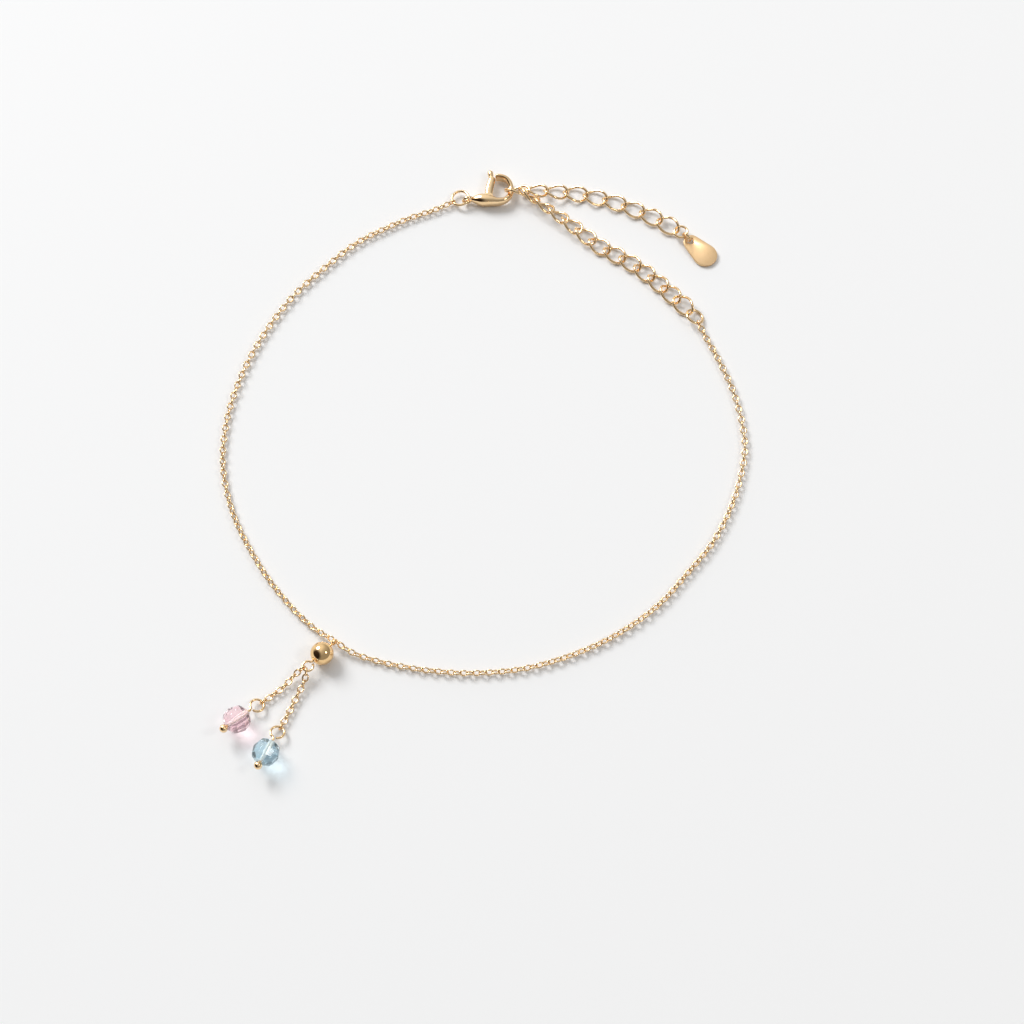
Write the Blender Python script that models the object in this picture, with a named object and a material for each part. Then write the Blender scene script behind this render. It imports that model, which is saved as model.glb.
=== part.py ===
"""A charm anklet of gold-plated brass, lying on a surface: a fine cable chain closed by a lobster
clasp and an extender, and a polished ball that carries two short chains with a faceted crystal each.

Metres, +Z up. The origin is under the middle of the anklet, at the height of the surface.
The clasp lies at the +Y side, the crystals at the -Y side, and the extender's free tail points to +X.
"""

import math

import bmesh
import bpy
from mathutils import Matrix, Quaternion, Vector

# Fine cable chain
FINE_WIRE = 0.00025
FINE_LINK_WIDTH = 0.0012
FINE_PITCH = 0.001
FINE_PRESS = 0.00008
CHAIN_DIAMETER = 0.0012
CHAIN_POINT_SPACING = 0.0026
CHAIN_END_GAP = 0.00015

# Extender of twisted curb links
CURB_LENGTH = 0.0045
CURB_WIDTH = 0.0032
CURB_WIRE = 0.00046
CURB_TWIST = math.radians(80)
STRAND_SLACK = 0.00035
TAIL_SLACK = 0.00015

# Split rings
JUMP_RING_DIAMETER = 0.0033
JUMP_RING_WIRE = 0.00045
TAIL_RING_DIAMETER = 0.0026
TAIL_RING_WIRE = 0.00042
TAG_RING_DIAMETER = 0.002
TAG_RING_WIRE = 0.00035
RING_SEAM = 0.00008
CLASP_RING_SEAM = math.radians(-110)
EXTENDER_RING_SEAM = math.radians(40)
TAIL_RING_SEAM = math.radians(75)
TAG_RING_SEAM = math.radians(120)

# Lobster clasp
CLASP_LENGTH = 0.0092
CLASP_WIDTH = 0.0053
CLASP_THICKNESS = 0.0023
CLASP_EYE_DIAMETER = 0.002
CLASP_EYE_WIRE = 0.0005
PIVOT_PIN_DIAMETER = 0.0005
PIVOT_CLEARANCE = 0.0001
LEVER_THICKNESS = 0.001
LEVER_SIDE_CLEARANCE = 0.00012
LEVER_ROOT_DIAMETER = 0.0014
# The slot's far end as a share of the clasp's length, and the pin's as one of its thickness
SLOT_END = 0.53
PIVOT_PIN_HEIGHT = 0.86

# Ball with its wire pin
BALL_DIAMETER = 0.00365
PIN_WIRE = 0.00038
BALL_TOP_LOOP = 0.0013
BALL_LOWER_LOOP = 0.002
BORE_CLEARANCE = 0.0001
# A pin loop's opening and its straight neck, as shares of the wire
LOOP_OPENING = 0.62
LOOP_NECK = 0.9

# Crystals on headpins
CRYSTAL_DIAMETER = 0.0043
CRYSTAL_LENGTH = 0.0039
CRYSTAL_FACETS = 12
CRYSTAL_SHOULDER_DIAMETER = 0.00355
CRYSTAL_SHOULDER_LENGTH = 0.0026
CRYSTAL_TABLE_DIAMETER = 0.0017
HEADPIN_LOOP = 0.0025
HEADPIN_NECK = 0.0007
HEADPIN_BALL = 0.0013
# The turn at which the ball's last ring closes
HEADPIN_BALL_END = math.radians(172)

# Tag
TAG_LENGTH = 0.0066
TAG_WIDTH = 0.0041
TAG_TIP_WIDTH = 0.0028
TAG_THICKNESS = 0.00045
TAG_RIM = 0.00008
TAG_HOLE = 0.0012
TAG_HOLE_FROM_TIP = 0.00105

# Gap that a link, a ring or a bead keeps to the wire that it hangs on
LINK_CLEARANCE = 0.0001
RING_SLACK = 0.0001
# Gap that a tilted link keeps to the surface
LYING_CLEARANCE = 0.00004

# Where the pieces lie, before the whole is centred over the origin
CENTRING = Vector((0.00004, -0.00008, 0))
CLASP_EYE_AT = Vector((-0.003, 0.04825, CLASP_THICKNESS / 2))
CLASP_HEADING = math.radians(14)
CLASP_RING_HEADING = math.radians(162)
CROWN_TO_HOOKED_LINK = Vector((0.00106, -0.0005, 0))
HOOKED_LINK_ROLL = math.radians(-40)
HOOKED_LINK_TO_STRAND = Vector((0.0003, 0, 0))
HOOKED_LINK_TO_TAIL = Vector((0.0031, 0.0001, 0))
STRAND_START_ROLL = math.radians(-60)
STRAND_END_ROLL = math.radians(20)
ROLL_STEP = math.radians(12)
TAIL_START_ROLL = math.radians(-24)
TAIL_END_ROLL = math.radians(20)
EXTENDER_RING_AT = Vector((0.0348, 0.0257, 0.00084))
EXTENDER_RING_HEADING = math.radians(-60)
RING_ROLL = math.radians(-25)
TAG_HEADING = math.radians(-46)
# How far the tag's ring is pulled out in the tail's ring, and how high that one leans, as shares of
# the slack between them; and how far the tag's hole lies off its ring's wire
TAG_RING_PULL = 0.92
TAIL_RING_LIFT = 0.4
TAG_HOLE_SLACK = 0.00006
BALL_AT = Vector((-0.02495, -0.0347, BALL_DIAMETER / 2))
BALL_HEADING = math.radians(225)
CENTRE_LINK_LEAN = math.radians(45)
CENTRE_LINK_HEADING = math.radians(318)
PINK_HOOK_HEADING = math.radians(203)
PINK_CRYSTAL_AT = Vector((-0.0376, -0.0456))
PINK_HEADING = math.radians(223)
BLUE_HOOK_HEADING = math.radians(256)
BLUE_CRYSTAL_AT = Vector((-0.03295, -0.0509))
BLUE_HEADING = math.radians(247)

# The chosen points of the chain's route: left of the ball, from the clasp's ring down to the ball
LEFT_ROUTE = [
    (-0.0089, 0.0465, 0.00062),
    (-0.0128, 0.045, 0.00062),
    (-0.0168, 0.043, 0.00062),
    (-0.02145, 0.04025, 0.00062),
    (-0.0262, 0.036, 0.00062),
    (-0.03235, 0.0293, 0.00062),
    (-0.0374, 0.0209, 0.00062),
    (-0.0407, 0.0122, 0.00062),
    (-0.0421, 0.0045, 0.00062),
    (-0.04195, -0.003, 0.00062),
    (-0.0396, -0.0114, 0.00062),
    (-0.03485, -0.0202, 0.00062),
    (-0.0302, -0.0263, 0.00062),
    (-0.0266, -0.0299, 0.0008),
    (-0.0246, -0.0314, 0.0012),
]

# The same, right of the ball, from the ball round to the extender's ring
RIGHT_ROUTE = [
    (-0.021, -0.0339, 0.0012),
    (-0.0191, -0.0347, 0.0008),
    (-0.0157, -0.0357, 0.00062),
    (-0.0119, -0.0365, 0.00062),
    (-0.008, -0.0371, 0.00062),
    (-0.0018, -0.0375, 0.00062),
    (0.006, -0.0368, 0.00062),
    (0.0135, -0.0346, 0.00062),
    (0.0206, -0.0312, 0.00062),
    (0.0271, -0.0264, 0.00062),
    (0.03195, -0.0209, 0.00062),
    (0.0366, -0.0149, 0.00062),
    (0.04, -0.0078, 0.00062),
    (0.0419, -0.0007, 0.00062),
    (0.0421, 0.0043, 0.00062),
    (0.0408, 0.0115, 0.00062),
    (0.0384, 0.018, 0.00062),
    (0.0369, 0.0212, 0.00062),
]

# The chosen points of the extender: its closed strand, and its free tail
STRAND_ROUTE = [
    (0.0136, 0.0441),
    (0.0194, 0.0393),
    (0.0242, 0.0363),
    (0.0285, 0.0327),
]
TAIL_ROUTE = [
    (0.01565, 0.0497),
    (0.02235, 0.0479),
    (0.0282, 0.0451),
    (0.0309, 0.0433),
]

# The chosen middle points of the two short chains below the ball
PINK_CHAIN_ROUTE = [
    (-0.0293, -0.0382, 0.0011),
    (-0.0309, -0.0399, 0.0007),
]
BLUE_CHAIN_ROUTE = [
    (-0.0276, -0.0391, 0.0011),
    (-0.0288, -0.0416, 0.0007),
    (-0.0298, -0.0439, 0.00065),
]

# Sections of the clasp's claw from its tail round to its nose. The columns are the distance from
# the eye as a share of the clasp's length, the place across and the breadth as shares of its width,
# and the height as a share of its thickness.
CLAW_SECTIONS = [
    (0.075, -0.02, 0.13, 0.3),
    (0.135, -0.045, 0.245, 0.62),
    (0.225, -0.085, 0.36, 0.88),
    (0.32, -0.145, 0.375, 1.0),
    (0.42, -0.225, 0.29, 0.97),
    (0.52, -0.295, 0.215, 0.85),
    (0.63, -0.31, 0.185, 0.72),
    (0.725, -0.25, 0.175, 0.6),
    (0.8, -0.11, 0.165, 0.46),
    (0.84, 0.085, 0.165, 0.43),
    (0.84, 0.275, 0.165, 0.56),
    (0.805, 0.43, 0.16, 0.72),
    (0.74, 0.53, 0.155, 0.82),
    (0.675, 0.582, 0.155, 0.82),
    (0.632, 0.6, 0.145, 0.78),
    (0.609, 0.605, 0.11, 0.6),
]
CROWN_SECTION = 9

# Sections of the lever's gate from its pivot to its tip, in the same shares as the claw's, with the
# height as a share of the lever's thickness
GATE_SECTIONS = [
    (0.39, -0.075, 0.2, 0.97),
    (0.41, 0.07, 0.24, 1.0),
    (0.439, 0.22, 0.255, 1.0),
    (0.477, 0.36, 0.255, 1.0),
    (0.511, 0.47, 0.245, 1.0),
    (0.535, 0.555, 0.22, 1.0),
    (0.549, 0.612, 0.18, 0.9),
    (0.558, 0.645, 0.11, 0.6),
]

# Sections of the lever's thumb knob, outwards
KNOB_SECTIONS = [
    (0.528, 0.56, 0.15, 0.8),
    (0.536, 0.66, 0.165, 0.9),
    (0.541, 0.76, 0.19, 1.0),
    (0.545, 0.83, 0.185, 0.95),
    (0.548, 0.87, 0.13, 0.7),
    (0.549, 0.888, 0.05, 0.3),
]


def material(name, colour, roughness, metallic, transmission=0.0):
    """A Principled material. The colour is linear."""
    made = bpy.data.materials.new(name)
    made.use_nodes = True
    shader = made.node_tree.nodes["Principled BSDF"]
    shader.inputs["Base Color"].default_value = (*colour, 1.0)
    shader.inputs["Roughness"].default_value = roughness
    shader.inputs["Metallic"].default_value = metallic
    shader.inputs["Transmission Weight"].default_value = transmission
    made.diffuse_color = (*colour, 1.0)
    return made


def clear_scene():
    for obj in list(bpy.data.objects):
        bpy.data.objects.remove(obj, do_unlink=True)


def add_shell(bm, rings, closed):
    """Joins rings of points, each to the next, into a closed shell: end caps, or last ring to first."""
    rows = [[bm.verts.new(point) for point in ring] for ring in rings]
    pairs = list(zip(rows, rows[1:]))
    if closed:
        pairs.append((rows[-1], rows[0]))
    else:
        bm.faces.new(rows[0])
        bm.faces.new(rows[-1])
    for row, following in pairs:
        for i in range(len(row)):
            j = (i + 1) % len(row)
            bm.faces.new((row[i], row[j], following[j], following[i]))


def make_mesh(name, shells, sharp_angle):
    """A mesh of shells, each a list of rings and whether its last ring joins its first."""
    bm = bmesh.new()
    for rings, closed in shells:
        add_shell(bm, rings, closed)
    bmesh.ops.recalc_face_normals(bm, faces=bm.faces)
    mesh = bpy.data.meshes.new(name)
    bm.to_mesh(mesh)
    bm.free()
    mesh.shade_smooth()
    mesh.set_sharp_from_angle(angle=sharp_angle)
    return mesh


def place(name, mesh, finish, parent, matrix):
    """An object of a mesh, or a copy that shares it, put at a matrix under its parent."""
    obj = bpy.data.objects.new(name, mesh)
    bpy.context.scene.collection.objects.link(obj)
    if not mesh.materials:
        mesh.materials.append(finish)
    obj.parent = parent
    obj.matrix_local = matrix
    return obj


def place_solid(name, shells, finish, parent, matrix=Matrix(), sharp_angle=math.radians(40)):
    return place(name, make_mesh(name, shells, sharp_angle), finish, parent, matrix)


def boolean(obj, operation, name, shells, matrix=Matrix()):
    """Joins or cuts a guide solid, which itself stays out of the model."""
    guide = bpy.data.objects.new(name, make_mesh(name, shells, math.radians(40)))
    bpy.context.scene.collection.objects.link(guide)
    guide.parent = obj
    guide.matrix_local = matrix
    guide.hide_render = True
    guide.display_type = "WIRE"
    modifier = obj.modifiers.new(name, "BOOLEAN")
    modifier.operation = operation
    modifier.object = guide


def path_frames(path, closed):
    """A tangent and a normal for each point, with as little twist as the path allows."""
    count = len(path)
    tangents = []
    for i in range(count):
        before = path[i - 1] if closed or i > 0 else path[0]
        after = path[(i + 1) % count] if closed or i < count - 1 else path[-1]
        tangents.append((after - before).normalized())
    normals = [tangents[0].orthogonal().normalized()]
    for tangent, following in zip(tangents, tangents[1:]):
        normals.append(tangent.rotation_difference(following) @ normals[-1])
    if closed:
        back = tangents[-1].rotation_difference(tangents[0]) @ normals[-1]
        slip = math.atan2(normals[0].cross(back).dot(tangents[0]), normals[0].dot(back))
        for i in range(count):
            normals[i] = Quaternion(tangents[i], -slip * i / count) @ normals[i]
    return list(zip(tangents, normals))


def wire_rings(path, diameters, sides, closed):
    """Rings of points round a path, for a wire whose diameter may change along it."""
    rings = []
    for point, diameter, (tangent, normal) in zip(path, diameters, path_frames(path, closed)):
        ring = []
        for i in range(sides):
            turn = Quaternion(tangent, math.tau * i / sides)
            ring.append(point + turn @ normal * diameter / 2)
        rings.append(ring)
    return rings


def even_wire(path, diameter, sides, closed):
    return (wire_rings(path, [diameter] * len(path), sides, closed), closed)


def arc(centre, radius, start, end, count, across=Vector((0, 1, 0))):
    """Points on an arc in the plane of X and the across direction."""
    points = []
    for i in range(count):
        turn = start + (end - start) * i / (count - 1)
        outwards = Vector((1, 0, 0)) * math.cos(turn) + across * math.sin(turn)
        points.append(centre + outwards * radius)
    return points


def frame_at(place_at, heading, tilt=0.0, roll=0.0):
    """A frame whose X axis points to a heading, raised by a tilt, and turned about itself by a roll."""
    turn = Matrix.Rotation(heading, 4, "Z") @ Matrix.Rotation(-tilt, 4, "Y") @ Matrix.Rotation(roll, 4, "X")
    return Matrix.Translation(place_at) @ turn


def heading_vector(heading):
    return Vector((math.cos(heading), math.sin(heading), 0))


def smooth_curve(points, steps=12):
    """Many points on a smooth curve through the chosen ones."""
    padded = [points[0] * 2 - points[1], *points, points[-1] * 2 - points[-2]]
    curve = []
    for before, start, end, after in zip(padded, padded[1:], padded[2:], padded[3:]):
        for i in range(steps):
            t = i / steps
            curve.append(
                (
                    start * 2
                    + (end - before) * t
                    + (before * 2 - start * 5 + end * 4 - after) * t**2
                    + (start * 3 - before - end * 3 + after) * t**3
                )
                / 2
            )
    curve.append(points[-1])
    return curve


def along(curve, count):
    """Points spread evenly along a curve, both ends included, and the distance between them."""
    lengths = [0.0]
    for start, end in zip(curve, curve[1:]):
        lengths.append(lengths[-1] + (end - start).length)
    spread = []
    segment = 0
    for i in range(count):
        wanted = lengths[-1] * i / (count - 1)
        while segment < len(curve) - 2 and lengths[segment + 1] < wanted:
            segment += 1
        share = (wanted - lengths[segment]) / (lengths[segment + 1] - lengths[segment])
        spread.append(curve[segment].lerp(curve[segment + 1], share))
    return spread, lengths[-1] / (count - 1)


def curve_length(curve):
    return sum((end - start).length for start, end in zip(curve, curve[1:]))


def fine_link_length(pitch):
    """The outer length of a cable link, whose wire presses a little into the next one's."""
    return pitch + 2 * FINE_WIRE - FINE_PRESS


def oval_path(length, width, wire, count, twist=0.0):
    """The middle line of a link's wire: an oval, twisted about its long axis from end to end."""
    points = []
    for i in range(count):
        turn = math.tau * i / count
        across = (width - wire) / 2 * math.sin(turn)
        angle = twist / 2 * math.cos(turn)
        x = (length - wire) / 2 * math.cos(turn)
        points.append(Vector((x, across * math.cos(angle), across * math.sin(angle))))
    return points


def fine_link_shell(pitch, matrix):
    path = [matrix @ point for point in oval_path(fine_link_length(pitch), FINE_LINK_WIDTH, FINE_WIRE, 10)]
    return even_wire(path, FINE_WIRE, 5, True)


def fine_hook_offset(held_wire):
    """How far a cable link's middle lies beyond the middle of the wire that its end holds."""
    return fine_link_length(FINE_PITCH) / 2 - FINE_WIRE - held_wire / 2 - LINK_CLEARANCE


def place_fine_link(name, centre, heading, roll, gold, parent):
    link = fine_link_shell(FINE_PITCH, Matrix())
    place_solid(name, [link], gold, parent, frame_at(centre, heading, roll=roll))


def place_ring(name, diameter, wire, seam_heading, gold, parent, matrix):
    """A split ring in its own XY plane, whose two cut ends face each other across a fine seam."""
    radius = (diameter - wire) / 2
    half_seam = RING_SEAM / 2 / radius
    path = arc(Vector(), radius, seam_heading + half_seam, seam_heading + math.tau - half_seam, 19)
    place_solid(name, [even_wire(path, wire, 6, False)], gold, parent, matrix)


def place_chain(name, route, gold, parent):
    """A stretch of fine cable chain, as the plain round outer form of its links."""
    curve = smooth_curve(route)
    points, _ = along(curve, round(curve_length(curve) / CHAIN_POINT_SPACING) + 1)
    data = bpy.data.curves.new(name, "CURVE")
    data.dimensions = "3D"
    data.bevel_depth = CHAIN_DIAMETER / 2
    data.bevel_resolution = 2
    data.use_fill_caps = True
    spline = data.splines.new("POLY")
    spline.points.add(len(points) - 1)
    for spline_point, point in zip(spline.points, points):
        spline_point.co = (*point, 1.0)
    data.materials.append(gold)
    obj = bpy.data.objects.new(name, data)
    bpy.context.scene.collection.objects.link(obj)
    obj.parent = parent


def clasp_ring_frame():
    """The clasp's ring leans from the clasp's eye down to the chain's end link."""
    radius = (JUMP_RING_DIAMETER - JUMP_RING_WIRE) / 2
    low = FINE_LINK_WIDTH / 2 + LINK_CLEARANCE
    tilt = math.asin((CLASP_EYE_AT.z - low) / (2 * radius))
    outwards = heading_vector(CLASP_RING_HEADING) * math.cos(tilt) - Vector((0, 0, math.sin(tilt)))
    return frame_at(CLASP_EYE_AT + outwards * radius, CLASP_RING_HEADING, -tilt)


def ring_wire_towards(frame, radius, target):
    """The point of a ring's wire that is nearest a target, and the heading from the ring to it."""
    local = frame.inverted() @ Vector(target)
    local.z = 0
    point = frame @ (local.normalized() * radius)
    outwards = point - frame.translation
    return point, math.atan2(outwards.y, outwards.x)


def chain_end(name, ring_frame, first_point, gold, parent):
    """The cable link that hangs on a ring, and the point where the chain's round form starts."""
    radius = (JUMP_RING_DIAMETER - JUMP_RING_WIRE) / 2
    wire_point, _ = ring_wire_towards(ring_frame, radius, first_point)
    direction = (Vector(first_point) - wire_point).normalized()
    heading = math.atan2(direction.y, direction.x)
    flat = heading_vector(heading)
    centre = wire_point + flat * fine_hook_offset(JUMP_RING_WIRE)
    centre.z = max(wire_point.z, FINE_LINK_WIDTH / 2 + LINK_CLEARANCE)
    place_fine_link(name, centre, heading, math.pi / 2, gold, parent)
    return centre + flat * (fine_link_length(FINE_PITCH) / 2 + CHAIN_END_GAP)


def section_rings(sections, thickness, sides=12):
    """Oval rings across a path in the clasp's plane, from a table of shares."""
    centres = [Vector((row[0] * CLASP_LENGTH, row[1] * CLASP_WIDTH, 0)) for row in sections]
    rings = []
    tangents = [tangent for tangent, _ in path_frames(centres, False)]
    for (_, _, breadth, height), centre, tangent in zip(sections, centres, tangents):
        side = Vector((-tangent.y, tangent.x, 0))
        ring = []
        for i in range(sides):
            turn = math.tau * i / sides
            across = side * math.cos(turn) * breadth * CLASP_WIDTH / 2
            ring.append(centre + across + Vector((0, 0, math.sin(turn) * height * thickness / 2)))
        rings.append(ring)
    return rings


def cylinder_shell(centre, diameter, height, sides):
    circle = arc(centre, diameter / 2, 0, math.tau, sides + 1)[:-1]
    rings = []
    for z in (-height / 2, height / 2):
        rings.append([point + Vector((0, 0, z)) for point in circle])
    return (rings, False)


def box_shell(low, high):
    corners = ((low.x, low.y), (high.x, low.y), (high.x, high.y), (low.x, high.y))
    rings = []
    for z in (low.z, high.z):
        rings.append([Vector((x, y, z)) for x, y in corners])
    return (rings, False)


def pivot_place():
    """The lever's pivot in the clasp's own frame."""
    return Vector((GATE_SECTIONS[0][0] * CLASP_LENGTH, GATE_SECTIONS[0][1] * CLASP_WIDTH, 0))


def place_clasp(gold, parent):
    """The claw, cast in one piece with its eye, forked for the lever and crossed by the pivot pin."""
    clasp_frame = frame_at(CLASP_EYE_AT, CLASP_HEADING)
    claw = (section_rings(CLAW_SECTIONS, CLASP_THICKNESS), False)
    body = place_solid("clasp_body", [claw], gold, parent, clasp_frame)
    eye_radius = (CLASP_EYE_DIAMETER - CLASP_EYE_WIRE) / 2
    eye_path = arc(Vector(), eye_radius, 0, math.tau, 17, Vector((0, 0, 1)))[:-1]
    boolean(body, "UNION", "eye_guide", [even_wire(eye_path, CLASP_EYE_WIRE, 8, True)])
    pivot = pivot_place()
    root = LEVER_ROOT_DIAMETER / 2 + PIVOT_CLEARANCE
    half_slot = LEVER_THICKNESS / 2 + LEVER_SIDE_CLEARANCE
    low = Vector((pivot.x - root, pivot.y - root, -half_slot))
    high = Vector((CLASP_LENGTH * SLOT_END, CLASP_WIDTH, half_slot))
    boolean(body, "DIFFERENCE", "slot_cutter", [box_shell(low, high)])
    pin_height = CLASP_THICKNESS * PIVOT_PIN_HEIGHT
    boolean(body, "UNION", "pivot_pin_guide", [cylinder_shell(pivot, PIVOT_PIN_DIAMETER, pin_height, 12)])

    hinge = bpy.data.objects.new("lever_hinge", None)
    bpy.context.scene.collection.objects.link(hinge)
    hinge.parent = parent
    hinge.matrix_local = clasp_frame @ Matrix.Translation(pivot)
    back = Matrix.Translation(-pivot)
    gate = [[back @ point for point in ring] for ring in section_rings(GATE_SECTIONS, LEVER_THICKNESS)]
    knob = [[back @ point for point in ring] for ring in section_rings(KNOB_SECTIONS, LEVER_THICKNESS)]
    lever = place_solid("clasp_lever", [(gate, False)], gold, hinge)
    boolean(lever, "UNION", "knob_guide", [(knob, False)])
    root_shell = cylinder_shell(Vector(), LEVER_ROOT_DIAMETER, LEVER_THICKNESS, 16)
    boolean(lever, "UNION", "root_guide", [root_shell])
    bore = PIVOT_PIN_DIAMETER + 2 * PIVOT_CLEARANCE
    boolean(lever, "DIFFERENCE", "bore_cutter", [cylinder_shell(Vector(), bore, 2 * LEVER_THICKNESS, 12)])


def curb_height(roll):
    """How high the middle of a curb link lies over the surface when the link is rolled."""
    turn = Matrix.Rotation(roll, 3, "X")
    return LYING_CLEARANCE + CURB_WIRE / 2 - min((turn @ point).z for point in curb_path())


def curb_path():
    return oval_path(CURB_LENGTH, CURB_WIDTH, CURB_WIRE, 12, CURB_TWIST)


def easing_rolls(start, end, count):
    """The rolls of a row of links that eases from its first roll to flat, and on to its last roll."""
    rolls = []
    for i in range(count):
        falling = max(abs(start) - i * ROLL_STEP, 0.0)
        rising = max(abs(end) - (count - 1 - i) * ROLL_STEP, 0.0)
        rolls.append(math.copysign(falling, start) + math.copysign(rising, end))
    return rolls


def place_curb_row(prefix, link, plan, rolls, gold, parent):
    """Curb links in a row on the surface, each rolled a little and lying on its lowest point."""
    centres = [Vector((point.x, point.y, curb_height(roll))) for point, roll in zip(plan, rolls)]
    for i, (centre, roll) in enumerate(zip(centres, rolls)):
        before = centres[max(i - 1, 0)]
        after = centres[min(i + 1, len(centres) - 1)]
        step = after - before
        tilt = math.atan2(step.z, math.hypot(step.x, step.y))
        matrix = frame_at(centre, math.atan2(step.y, step.x), tilt, roll)
        place(f"{prefix}{i + 1:02d}", link, gold, parent, matrix)


def link_centres(route, slack):
    """Evenly spaced middles of as few links as reach along a route with some slack in each."""
    curve = smooth_curve(route)
    longest_pitch = CURB_LENGTH - 2 * CURB_WIRE - slack
    centres, _ = along(curve, math.ceil(curve_length(curve) / longest_pitch) + 1)
    return centres


def hooked_link_place():
    """The hooked link hangs in the crown of the claw, so its place follows from the clasp's."""
    share_along, share_across = CLAW_SECTIONS[CROWN_SECTION][:2]
    crown = Vector((share_along * CLASP_LENGTH, share_across * CLASP_WIDTH, 0))
    place_at = frame_at(CLASP_EYE_AT, CLASP_HEADING) @ crown + CROWN_TO_HOOKED_LINK
    place_at.z = curb_height(HOOKED_LINK_ROLL)
    return place_at


def place_extender(gold, parent):
    """The curb links of the strand that closes the loop, the hooked link and the free tail."""
    half_length = (CURB_LENGTH - CURB_WIRE) / 2
    link = make_mesh("curb_link", [even_wire(curb_path(), CURB_WIRE, 6, True)], math.radians(60))
    hooked = hooked_link_place()
    place("extender_link_hooked", link, gold, parent, frame_at(hooked, 0, roll=HOOKED_LINK_ROLL))

    ring_frame = frame_at(EXTENDER_RING_AT, EXTENDER_RING_HEADING, roll=RING_ROLL)
    seam = EXTENDER_RING_SEAM - EXTENDER_RING_HEADING
    place_ring("extender_ring", JUMP_RING_DIAMETER, JUMP_RING_WIRE, seam, gold, parent, ring_frame)
    ring_radius = (JUMP_RING_DIAMETER - JUMP_RING_WIRE) / 2
    route = [Vector((*point, 0)) for point in STRAND_ROUTE]
    first_wire = hooked + HOOKED_LINK_TO_STRAND
    first_wire.z = 0
    start = first_wire + (route[0] - first_wire).normalized() * half_length
    wire_point, _ = ring_wire_towards(ring_frame, ring_radius, route[-1])
    wire_point.z = 0
    hold = half_length - CURB_WIRE / 2 - JUMP_RING_WIRE / 2 - LINK_CLEARANCE - RING_SLACK
    end = wire_point + (route[-1] - wire_point).normalized() * hold
    centres = link_centres([start, *route, end], STRAND_SLACK)
    rolls = easing_rolls(STRAND_START_ROLL, STRAND_END_ROLL, len(centres))
    place_curb_row("extender_link_", link, centres, rolls, gold, parent)

    tail_start = hooked + HOOKED_LINK_TO_TAIL
    tail_start.z = 0
    tail_route = [tail_start, *[Vector((*point, 0)) for point in TAIL_ROUTE]]
    centres = link_centres(tail_route, TAIL_SLACK)
    rolls = easing_rolls(TAIL_START_ROLL, TAIL_END_ROLL, len(centres))
    place_curb_row("tail_link_", link, centres, rolls, gold, parent)
    last = Vector((centres[-1].x, centres[-1].y, curb_height(TAIL_END_ROLL)))
    return ring_frame, last, centres[-1] - centres[-2]


def place_tag_end(last_link, direction, gold, parent):
    """The tail's small ring, the upright ring in the tag's hole, and the tag that leans on it."""
    heading = math.atan2(direction.y, direction.x)
    ring_radius = (TAIL_RING_DIAMETER - TAIL_RING_WIRE) / 2
    half_length = (CURB_LENGTH - CURB_WIRE) / 2
    hold = half_length - CURB_WIRE / 2 - TAIL_RING_WIRE / 2 - LINK_CLEARANCE - RING_SLACK
    near = last_link + heading_vector(heading) * hold
    tag_ring_radius = (TAG_RING_DIAMETER - TAG_RING_WIRE) / 2
    reach = tag_ring_radius - TAG_RING_WIRE / 2 - TAIL_RING_WIRE / 2 - LINK_CLEARANCE
    high = TAG_RING_DIAMETER / 2 + reach * TAIL_RING_LIFT
    tilt = math.asin((high - near.z) / (2 * ring_radius))
    rising = heading_vector(heading) * math.cos(tilt) + Vector((0, 0, math.sin(tilt)))
    tail_ring = frame_at(near + rising * ring_radius, heading, tilt)
    seam = TAIL_RING_SEAM
    place_ring("tail_ring", TAIL_RING_DIAMETER, TAIL_RING_WIRE, seam, gold, parent, tail_ring)

    away = heading_vector(TAG_HEADING)
    wire_point, _ = ring_wire_towards(tail_ring, ring_radius, tail_ring.translation + away)
    centre = wire_point + away * reach * TAG_RING_PULL
    centre.z = TAG_RING_DIAMETER / 2
    upright = frame_at(centre, TAG_HEADING, roll=math.pi / 2)
    place_ring("tag_ring", TAG_RING_DIAMETER, TAG_RING_WIRE, TAG_RING_SEAM, gold, parent, upright)

    hole = centre + away * (tag_ring_radius + TAG_HOLE_SLACK)
    lift = TAG_RING_WIRE + LINK_CLEARANCE
    tag_tilt = math.asin(lift / (TAG_LENGTH - TAG_HOLE_FROM_TIP))
    hole.z = lift + TAG_THICKNESS / 2 + LYING_CLEARANCE
    place_tag(frame_at(hole, TAG_HEADING, -tag_tilt), gold, parent)


def place_tag(matrix, gold, parent):
    """A drop-shaped plate round its hole: two arcs and their tangents, with a narrow bevelled rim."""
    tip, end = TAG_TIP_WIDTH / 2, TAG_WIDTH / 2
    tip_centre = Vector((tip - TAG_HOLE_FROM_TIP, 0, 0))
    end_centre = Vector((TAG_LENGTH - TAG_HOLE_FROM_TIP - end, 0, 0))
    tangent = math.acos((tip - end) / (end_centre.x - tip_centre.x))
    outline = arc(end_centre, 1.0, -tangent, tangent, 17)
    centres = [end_centre] * 17 + [tip_centre] * 9
    outline += arc(tip_centre, 1.0, tangent, math.tau - tangent, 9)
    radii = [end] * 17 + [tip] * 9

    def outer(inset, z):
        ring = []
        for centre, point, radius in zip(centres, outline, radii):
            ring.append(centre + (point - centre) * (radius - inset) + Vector((0, 0, z)))
        return ring

    def inner(z):
        return [point.normalized() * TAG_HOLE / 2 + Vector((0, 0, z)) for point in outer(0, 0)]

    top = TAG_THICKNESS / 2
    rings = [
        outer(TAG_RIM, -top),
        outer(0, -top + TAG_RIM),
        outer(0, top - TAG_RIM),
        outer(TAG_RIM, top),
        inner(top),
        inner(-top),
    ]
    place_solid("tag", [(rings, True)], gold, parent, matrix, math.radians(30))


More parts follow.
